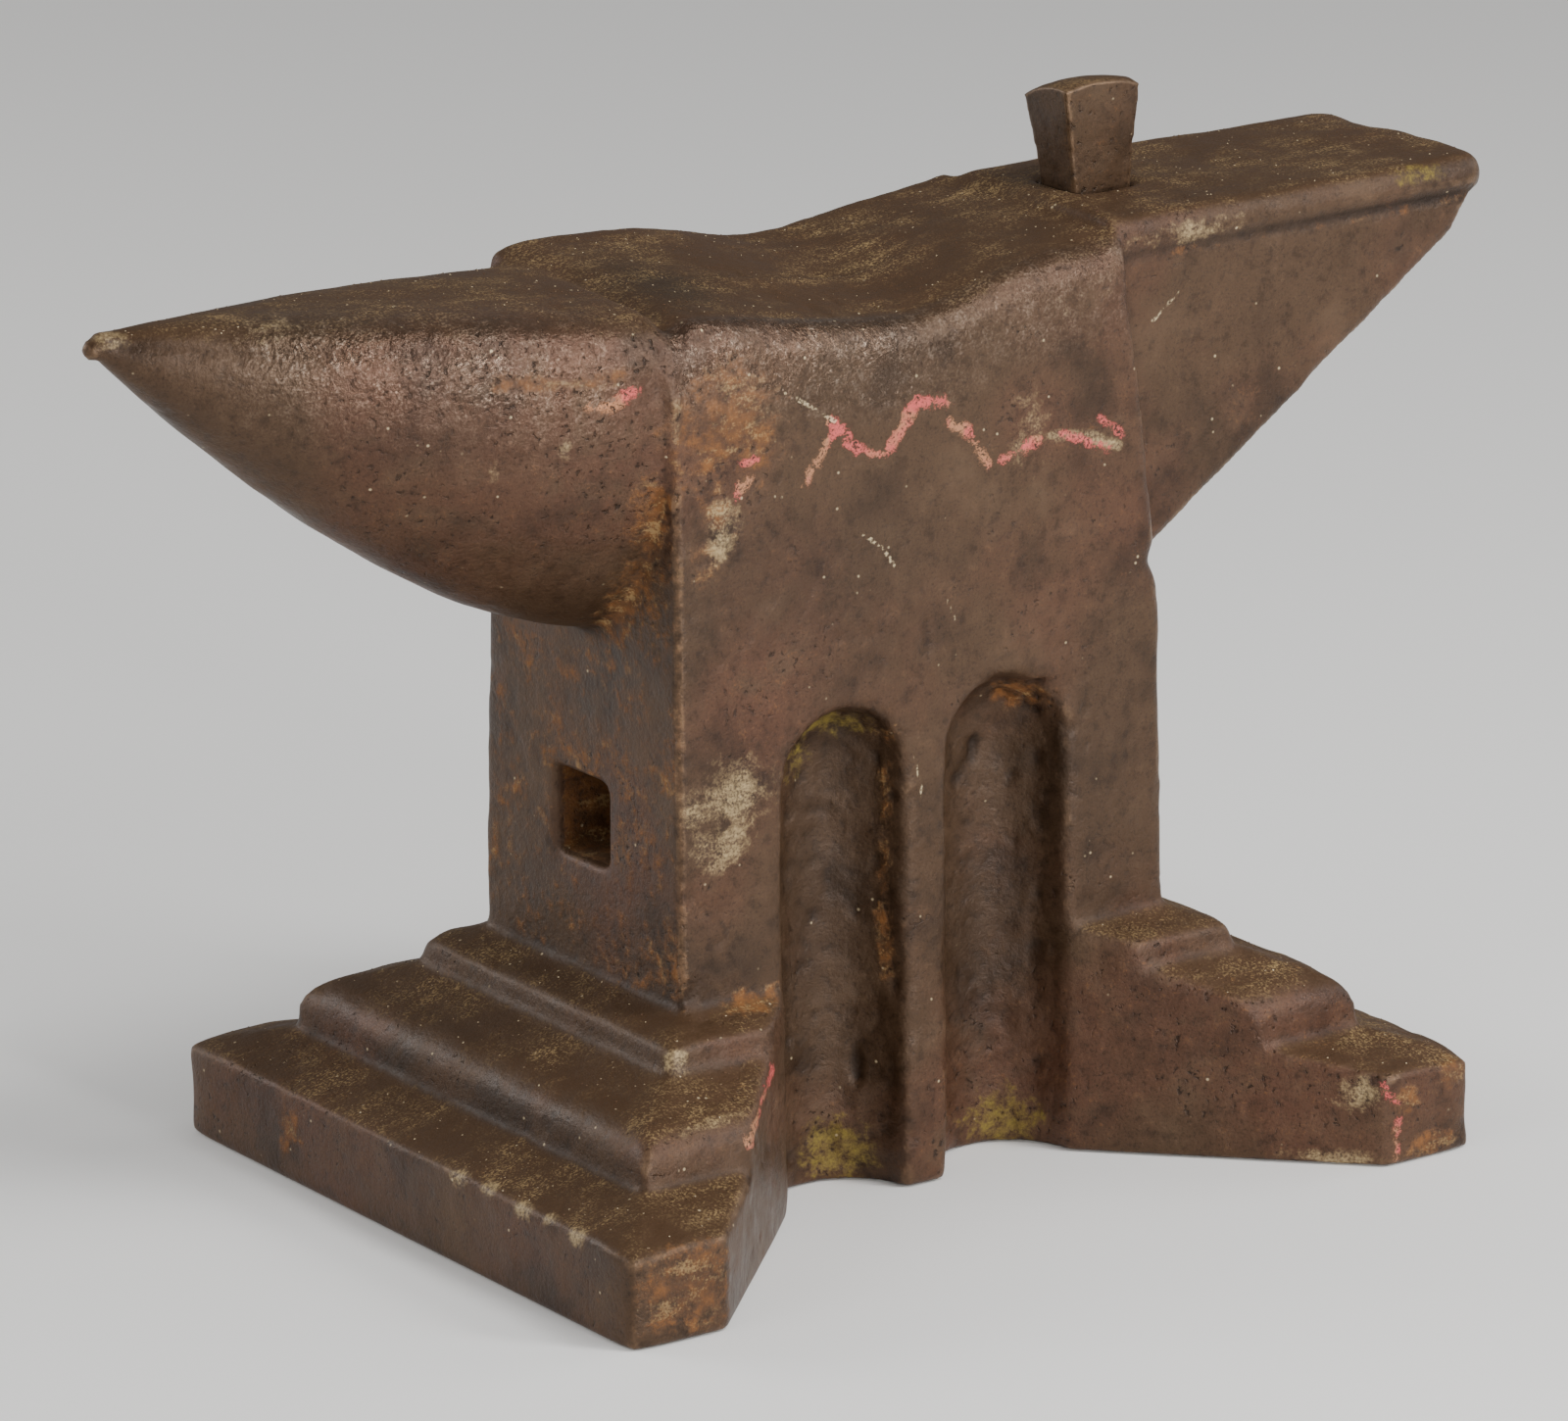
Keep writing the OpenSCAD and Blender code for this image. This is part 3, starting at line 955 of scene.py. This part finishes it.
# %% Wires
class Wire:
    def __init__(self, recipe, socket):
        self.recipe = recipe
        self.socket = socket

    def math(self, operation, *values):
        return self.recipe.node("ShaderNodeMath", {"operation": operation}, dict(enumerate(values)))

    def __add__(self, other):
        return self.math("ADD", self, other)

    def __sub__(self, other):
        return self.math("SUBTRACT", self, other)

    def __rsub__(self, other):
        return self.math("SUBTRACT", other, self)

    def __mul__(self, other):
        return self.math("MULTIPLY", self, other)

    def __truediv__(self, other):
        return self.math("DIVIDE", self, other)

    def __pow__(self, other):
        return self.math("POWER", self, other)

    def lowest(self, other):
        return self.math("MINIMUM", self, other)

    def highest(self, other):
        return self.math("MAXIMUM", self, other)

    def rises(self, low, high):
        """0 below low, 1 above high, with a smooth ramp between."""
        return self.recipe.node("ShaderNodeMapRange", {"interpolation_type": "SMOOTHSTEP"},
                                {"Value": self, "From Min": low, "From Max": high})

    __radd__ = __add__
    __rmul__ = __mul__


print("a wire can be added, subtracted, multiplied, divided and raised")

# %% [markdown]
# ## A recipe of nodes
# `Recipe` adds any other node from its type, its settings and its values. A value may be a number
# or a wire. The same two classes serve material trees and Geometry Nodes trees.

# %% Recipes
class Recipe:
    def __init__(self, tree):
        self.tree = tree

    def node(self, kind, settings=None, values=None, output=0):
        made = self.tree.nodes.new(kind)
        for name, value in (settings or {}).items():
            setattr(made, name, value)
        for key, value in (values or {}).items():
            if isinstance(value, Wire):
                self.tree.links.new(value.socket, made.inputs[key])
            else:
                made.inputs[key].default_value = value
        return Wire(self, made.outputs[output])

    def link(self, wire, socket):
        self.tree.links.new(wire.socket, socket)

    def stored(self, name):
        return self.node("ShaderNodeAttribute", {"attribute_name": name}, output="Fac")

    def noise(self, place, scale, detail=3.0, roughness=0.55):
        return self.node("ShaderNodeTexNoise", None, {"Vector": place, "Scale": scale, "Detail": detail,
                                                      "Roughness": roughness})

    def stretched(self, place, factors):
        return self.node("ShaderNodeVectorMath", {"operation": "MULTIPLY"}, {0: place, 1: factors})

    def split(self, vector):
        made = self.node("ShaderNodeSeparateXYZ", None, {"Vector": vector}).socket.node
        return [Wire(self, made.outputs[axis]) for axis in "XYZ"]

    def mix(self, first, second, share):
        first, second = (c if isinstance(c, Wire) else (*c, 1) for c in (first, second))
        return self.node("ShaderNodeMix", {"data_type": "RGBA"}, {0: share, 6: first, 7: second}, 2)


def colour(code):
    """A colour from its usual six-digit code, as the linear values that shaders use."""
    parts = [int(code[i:i + 2], 16) / 255 for i in (0, 2, 4)]
    return tuple(p / 12.92 if p <= 0.04045 else ((p + 0.055) / 1.055) ** 2.4 for p in parts)


print("node helpers ready")

# %% [markdown]
# ## The iron's colours
# The anvil is neither painted nor bare: old red-brown paint, rust and oil have worn into one patina. A few
# named colours are enough for it, because layers over layers make the rest. The names say what they stand
# for, so that a recipe reads as a list of dirt, rust and wear, with painted shade on the tops and painted
# glints on the polish.

# %% The palette
PATINA = {name: colour(code) for name, code in {
    "deep": "1C120B", "umber": "483525", "red": "513627", "grey": "524130", "earth_and_top_shade": "422B1A",
    "light": "765E48", "rust": "7E5026", "rust_deep": "4F3219", "sand": "9E8459", "pale": "9A8560",
    "bare_and_glint": "96877A", "moss": "7C6B30", "crayon": "CC5C58", "chalk": "CBB995"}.items()}
print("palette of", len(PATINA), "colours")

# %% [markdown]
# ## Where dirt and wear lie
# Nothing on old iron has a clean outline. So the stored patches are broken up by noise of several
# sizes: wide noise drifts over a whole face, and fine noise gives grains. Noise on Object
# coordinates has no seams and needs no unwrapping.

# %% Where each layer lies
def skin_wires(recipe, dustiness):
    """Noises of several sizes, and the stored masks with their borders broken up by them."""
    n = SimpleNamespace(**{key: recipe.stored(key) for key in masks})
    place = recipe.node("ShaderNodeTexCoord", output="Object")
    n.wide = recipe.noise(place, 9, 2)
    n.blotch = recipe.noise(place, 24, 4, 0.6)
    n.middle = recipe.noise(place, 42, 5, 0.62)
    n.fine = recipe.noise(place, 190, 5, 0.7)
    n.peel = recipe.noise(place, 420, 2, 0.5)
    n.grain = recipe.noise(place, 900, 3, 0.6)
    n.streaks = recipe.noise(recipe.stretched(place, (0.3, 1, 1)), 150, 4, 0.7)

    def broken(mask):
        """A stored patch with its border eaten away by noise."""
        level = mask + (n.middle - 0.5) * 0.9 + (n.fine - 0.5) * 1.3
        return (level * mask.rises(0.02, 0.2)).rises(0.28, 0.72)

    n.rust, n.pale, n.moss = broken(n.rust), broken(n.pale), broken(n.moss)
    pits = recipe.noise(place, 380, 2, 0.55)
    n.pitted = (1 - pits).rises(0.62, 0.72) * (n.middle * 0.6 + n.wide * 0.5).rises(0.54, 0.68)
    n.edge = (n.worn * (n.fine + 0.1) * (n.middle + 0.5)).rises(0.38, 0.85)
    n.gloss = n.gloss * (0.2 + n.middle + (n.fine - 0.5) * 0.9).highest(0) * (1 - n.rust * 0.7)
    # painted glints: pale specks in the colour that stand in for highlights on the polish
    n.glints = (n.grain * 0.6 + n.fine * 0.5).rises(0.54, 0.72)
    drift = (n.middle * 0.5 + n.blotch * 0.6).rises(0.46, 0.68)
    n.dust = n.ledge * (0.05 + (n.streaks * 0.4 + n.grain * 0.75).rises(0.55, 0.74) * drift * dustiness)
    specks = recipe.node("ShaderNodeTexVoronoi", None, {"Vector": place, "Scale": 130})
    n.flecks = (1 - specks.rises(0.04, 0.11)) * recipe.noise(place, 75, 2).rises(0.54, 0.6)
    waver = (n.fine - 0.5) * 16 + (n.middle - 0.5) * 9 + (n.grain - 0.5) * 5
    n.crayon = (1 - (n.crayon + waver).rises(0.9, 2.4)) * (n.fine * 0.7 + n.grain * 0.7).rises(0.54, 0.7)
    n.scratch = (1 - (n.scratch + (n.fine - 0.5) * 3).rises(0.3, 0.9)) * n.grain.rises(0.38, 0.5)
    return n


print("noises and masks ready")

# %% [markdown]
# ## Layers of colour
# The patina is built as it came about: brown iron, dark pits, corners and creases darkened as painted
# shade, tops darkened partly by grime and partly as painted shade, oil and soot with painted shade in the
# niches, orange rust, rubbed edges, bare iron with painted glints on the polish, pale scuffs, moss, sandy
# dust on the ledges, and the crayon marks last. The layers are a plain list, so that one can be moved,
# weakened or left out to see what it does.

# %% The list of layers
def layers(recipe, n):
    """Each layer's colour and how much of it covers what lies below, from the iron upwards."""
    orange = (n.fine + n.middle * 0.7 - 0.35).rises(0.35, 0.75)
    rust_colour = recipe.mix(PATINA["rust_deep"], PATINA["rust"], orange)
    wax = recipe.mix(PATINA["crayon"], PATINA["sand"], n.blotch.rises(0.5, 0.58) * 0.7)
    freckle = (n.grain * 0.5 + n.fine * 0.5).rises(0.56, 0.66) * (n.wide + n.middle * 0.5).rises(0.66, 0.95)
    return [
        ("grey", (n.wide * 0.3 + n.middle * 0.7).rises(0.5, 0.7) * 0.6),
        ("deep", (1 - n.fine).rises(0.5, 0.68) * 0.45),
        ("light", n.fine.rises(0.56, 0.74) * 0.16),
        ("deep", (1 - n.grain).rises(0.52, 0.7) * 0.45),
        ("light", n.grain.rises(0.6, 0.76) * 0.2),
        ("deep", (1 - n.blotch).rises(0.48, 0.68) * 0.5),
        ("light", n.blotch.rises(0.56, 0.72) * 0.16),
        ("deep", n.pitted * 0.6),
        # painted shade in corners and creases, with some grime that gathers there
        ("deep", (n.corner * 0.8).highest(n.crease * 0.65)),
        # tops darkened: partly grime, partly painted shade on every upward face
        ("earth_and_top_shade", n.ledge * (0.45 + (1 - n.blotch) * 0.6)),
        # oil and soot stains, painted shade in the niches and a painted shadow under the heel's steel
        ("deep", n.shade * 0.75),
        (rust_colour, n.rust * (0.3 + n.fine * 0.7)),
        ("sand", n.rust * (n.streaks + n.grain * 0.6).rises(0.82, 1.0) * 0.5),
        ("rust", freckle * 0.35),
        ("light", n.edge * 0.6),
        # bare, rubbed iron on the polish, with painted glints as pale specks
        ("bare_and_glint", n.gloss * (0.1 + n.glints * 0.5)),
        ("pale", n.pale * (n.streaks * 0.8 + n.grain * 0.8).rises(0.62, 1.0)),
        ("moss", n.moss * (n.fine + n.grain * 0.4).rises(0.5, 0.95)),
        ("sand", n.dust),
        ("chalk", n.flecks * 0.6),
        (wax, n.crayon * 0.9),
        ("chalk", n.scratch * 0.7),
    ]


print("layers listed from the iron upwards")

# %% [markdown]
# ## One recipe, four irons
# Colour alone looks like paint. Rubbed iron is also smoother and more metallic, rust and dust are
# matt, and pits and scale catch the light. So the same masks drive roughness, metal and bump. The
# waist, the feet, the steel and the tool differ only by a few numbers given to one function.

# %% The finished materials
def patina(name, redness, dustiness, relief=1.0):
    """An iron material: redness tints it, dustiness dusts its ledges and relief deepens its grain."""
    material, sockets = new_material(name)
    sockets["Specular IOR Level"].default_value = 0.3
    recipe = Recipe(material.node_tree)
    n = skin_wires(recipe, dustiness)
    reddened = (n.wide + n.middle * 0.3).rises(0.62 - redness, 0.86 - redness)
    base = recipe.mix(PATINA["umber"], PATINA["red"], reddened)
    for paint, share in layers(recipe, n):
        base = recipe.mix(base, PATINA[paint] if isinstance(paint, str) else paint, share)
    recipe.link(base, sockets["Base Color"])

    matt = 0.44 + (n.fine - 0.5) * 0.35 + (n.middle - 0.5) * 0.3 + (n.blotch - 0.5) * 0.3
    matt = matt + n.dust * 0.3 + (n.ledge + n.rust + n.moss + n.corner) * 0.2
    matt = matt - n.gloss * 0.3 - n.edge * 0.14
    recipe.link(matt.highest(0.24).lowest(0.92), sockets["Roughness"])
    metal = (0.35 + n.gloss * 0.5 + n.edge * 0.2) * (1 - n.rust * 0.8) * (1 - n.dust) * (1 - n.pale * 0.7)
    recipe.link(metal.lowest(0.75), sockets["Metallic"])

    height = n.fine * (0.75 + n.shade * 0.8 + n.rust * 0.3) + n.peel * (0.35 + n.gloss * 0.7)
    height = height + n.grain * (0.16 + n.dust * 0.5) + n.crayon * 0.2 - n.pitted * 0.9
    bump = recipe.node("ShaderNodeBump", None, {"Strength": 0.6, "Distance": 1.2 * MM * relief,
                                                "Height": height})
    recipe.link(bump, sockets["Normal"])
    return material


FINISHES = {
    "forged_iron": patina("old_forged_iron", redness=0.05, dustiness=0.7),
    "foot_iron": patina("dusty_foot_iron", redness=0.04, dustiness=0.75),
    "steel_face": patina("worn_face_steel", redness=0.05, dustiness=0.7),
}
print("finishes:", [finish.name for finish in FINISHES.values()])

# %% [markdown]
# ## Dressing the pieces
# A piece is given the body it moves with and its material, and the imported piece it stands for is hidden.
# All welded pieces move with the anvil, which doesn't move at all.

# %% Dress the pieces
def dress(piece, finish):
    piece.data.materials.clear()
    piece.data.materials.append(finish)


slot_of = {row["node"]: row["material_slot"] for row in frame["record"]["subparts"]}
for node, piece in pieces.items():
    dress(piece, FINISHES[slot_of[node]])
    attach(piece, "anvil")
    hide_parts(node)
    print(piece.name, "is finished as", slot_of[node])

# %% [markdown]
# ## The square tool in the hardy hole
# The tool is a short bar, forged to a taper that drops into the hole and flares out above it.
# Its crown has been hammered into a low dome. Its shape follows a rule, so Geometry Nodes make
# it: every point of a box is moved by formulas of its height, with the sizes as named inputs.
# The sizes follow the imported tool.

# %% A tree with named inputs
def shape_tree(name, labels):
    tree = bpy.data.node_groups.new(name, "GeometryNodeTree")
    tree.interface.new_socket("Geometry", in_out="OUTPUT", socket_type="NodeSocketGeometry")
    tree.interface.new_socket("Geometry", in_out="INPUT", socket_type="NodeSocketGeometry")
    for label in labels:
        tree.interface.new_socket(label, in_out="INPUT", socket_type="NodeSocketFloat")
    recipe = Recipe(tree)
    entry = tree.nodes.new("NodeGroupInput")
    return recipe, {socket.name: Wire(recipe, socket) for socket in entry.outputs if socket.name}


def close_tree(recipe, geometry, material):
    solid = recipe.node("GeometryNodeRealizeInstances", None, {"Geometry": geometry})
    dressed = recipe.node("GeometryNodeSetMaterial", None, {"Geometry": solid, "Material": material})
    recipe.link(dressed, recipe.tree.nodes.new("NodeGroupOutput").inputs["Geometry"])


def run_tree(piece, recipe, sizes):
    modifier = piece.modifiers.new(recipe.tree.name, "NODES")
    modifier.node_group = recipe.tree
    for item in recipe.tree.interface.items_tree:
        if item.in_out == "INPUT" and item.name in sizes:
            modifier[item.identifier] = sizes[item.name]
    return baked(piece)


print("shape trees ready")

# %% [markdown]
# ## A bar that follows its height
# The tool flares evenly from the mouth of the hole up to its crown, and tapers evenly from there
# down to the end of its shank. That is a rule, so it is easier to write than to model: the width
# and the depth are sums of the height above the face and of the depth below it. The crown falls
# away to its sides along two shallow curves.

# %% The tool's shape
TOOL = {"Top width": 37, "Top depth": 29, "Neck width": 28.4, "Neck depth": 23.4, "End width": 21,
        "End depth": 19, "Height": 44, "Shank": 55, "Crown radius": 38, "Dome radius": 75}


def tool_tree(material):
    recipe, size = shape_tree("square_tool", TOOL)
    bar = recipe.node("GeometryNodeMeshCube", None, {"Size": (1, 1, 1), "Vertices X": 20, "Vertices Y": 16,
                                                     "Vertices Z": 50})
    across, deep, high = recipe.split(recipe.node("GeometryNodeInputPosition"))
    height = (high + 0.5) * (size["Height"] + size["Shank"]) - size["Shank"]
    above = (height / size["Height"]).highest(0)
    below = (height / size["Shank"] * -1).highest(0)
    width, depth = (
        size["Neck " + way] + above * (size["Top " + way] - size["Neck " + way])
        + below * (size["End " + way] - size["Neck " + way]) for way in ("width", "depth"))
    x, y = across * width, deep * depth
    fall = (y + 8) ** 2 / (size["Crown radius"] * 2) + (x + 4) * (x + 4) / (size["Dome radius"] * 2)
    place = recipe.node("ShaderNodeCombineXYZ", None, {"X": x, "Y": y, "Z": height - above * fall})
    moved = recipe.node("GeometryNodeSetPosition", None, {"Geometry": bar, "Position": place})
    close_tree(recipe, moved, material)
    return recipe


tool_finish = patina("smooth_tool_steel", redness=-0.1, dustiness=0.35, relief=0.45)
tool = new_object("square_tool_steel", bpy.data.meshes.new("square_tool_steel"))
run_tree(tool, tool_tree(tool_finish), TOOL)
tool.data.transform(Matrix.Scale(MM, 4))
print("tool drawn with", len(tool.data.vertices), "points")

# %% [markdown]
# ## The tool's wear
# The tool gets the same wear as the block, only finer: small even faces, rounded edges and low
# lumps. Below the face it stays smooth and straight, so that it slides in its hole. It leans by
# a few degrees, as a loose tool does.

# %% Wear the tool and stand it in its hole
tool_face_size = 0.8
tool_lean = math.radians(-2.5)
even_skin(tool, tool_face_size * MM)
tool_edges = edges_of(tool.data)
tool_points = smoothed(points_of(tool.data), tool_edges, 10, 0.5)
set_points(tool.data, tool_points)
above_hole = step(2, 8, tool_points[:, 2])[:, None]
lumps = smooth_noise(tool_points, 14, 31) * 0.35 + smooth_noise(tool_points, 5, 32) * 0.14 - 0.1
tool_points += normals_of(tool.data) * lumps[:, None] * above_hole
press(tool_points, (-17, -14, 20), (6, 5, 9), (0.5, 0.5, 0))
press(tool_points, (17, -14, 42), (5, 5, 5), (-0.7, 0.5, -0.8))
set_points(tool.data, tool_points)
mouth = Matrix.Translation((HARDY_X * MM, HARDY_Y * MM, FACE_Z * MM))
tool.data.transform(mouth @ Matrix.Rotation(tool_lean, 4, "Y"))
tool_points = points_of(tool.data)
store_masks(tool.data, tool_points, normals_of(tool.data), tool_edges, face_size=tool_face_size)
tool.data.attributes.remove(tool.data.attributes["skin_normal"])
tool.data.shade_smooth()
dress(tool, tool_finish)
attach(tool, "hardy_tool")
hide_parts("hardy_tool")
tool_top = round(float(tool_points[:, 2].max()), 1)
print("tool stands", tool_top, "mm high with", len(tool.data.polygons), "faces")

# %% [markdown]
# ## Grit on the ledges
# Flakes of scale and grains of sand lie on every ledge of an anvil that has stood outdoors.
# They repeat and follow a surface, so Geometry Nodes scatter them: points are spread over the block where
# the stored ledge number is high, and each gets a small, squashed stone, turned to the surface and sized at
# random from a fixed seed. The stones are sunk by half, so none of them floats.

# %% Scatter the grit
GRIT = {"Grains per square metre": 12000.0, "Grain size": 0.42 * MM}


def grit_finish():
    material, sockets = new_material("sandy_grit")
    recipe = Recipe(material.node_tree)
    place = recipe.node("ShaderNodeTexCoord", output="Object")
    tone = recipe.noise(place, 420, 2)
    sand = recipe.mix(PATINA["rust_deep"], PATINA["chalk"], tone.rises(0.45, 0.75))
    recipe.link(sand, sockets["Base Color"])
    recipe.link(0.7 + tone * 0.25, sockets["Roughness"])
    return material


def grit_tree(material):
    recipe, size = shape_tree("grit", GRIT)
    ledge = recipe.node("GeometryNodeInputNamedAttribute", {"data_type": "FLOAT"}, {"Name": "ledge"})
    spread = recipe.node("GeometryNodeDistributePointsOnFaces", None,
                         {"Mesh": size["Geometry"], "Seed": 5,
                          "Density": ledge.rises(0.4, 1.0) * size["Grains per square metre"]})
    turn = Wire(recipe, spread.socket.node.outputs["Rotation"])
    stone = recipe.node("GeometryNodeMeshIcoSphere", None,
                        {"Radius": size["Grain size"], "Subdivisions": 1})
    sizes = recipe.node("FunctionNodeRandomValue", {"data_type": "FLOAT_VECTOR"},
                        {0: (0.5, 0.5, 0.35), 1: (1.5, 1.3, 0.8), "Seed": 8})
    grains = recipe.node("GeometryNodeInstanceOnPoints", None,
                         {"Points": spread, "Instance": stone, "Rotation": turn, "Scale": sizes})
    close_tree(recipe, grains, material)
    return recipe


grit = new_object("sandy_grit", block.data.copy())
run_tree(grit, grit_tree(grit_finish()), GRIT)
print("grit:", len(grit.data.polygons) // 20, "grains")
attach(grit, "anvil")

# %% [markdown]
# ## Finishing
# The block and the cells were only tools, so they are removed.

# %% Clear the workshop and finish
discard(block, body_cell, low_core, horn_cell, face_cell, heel_cell, heel_plate_cell, hardy_hole)
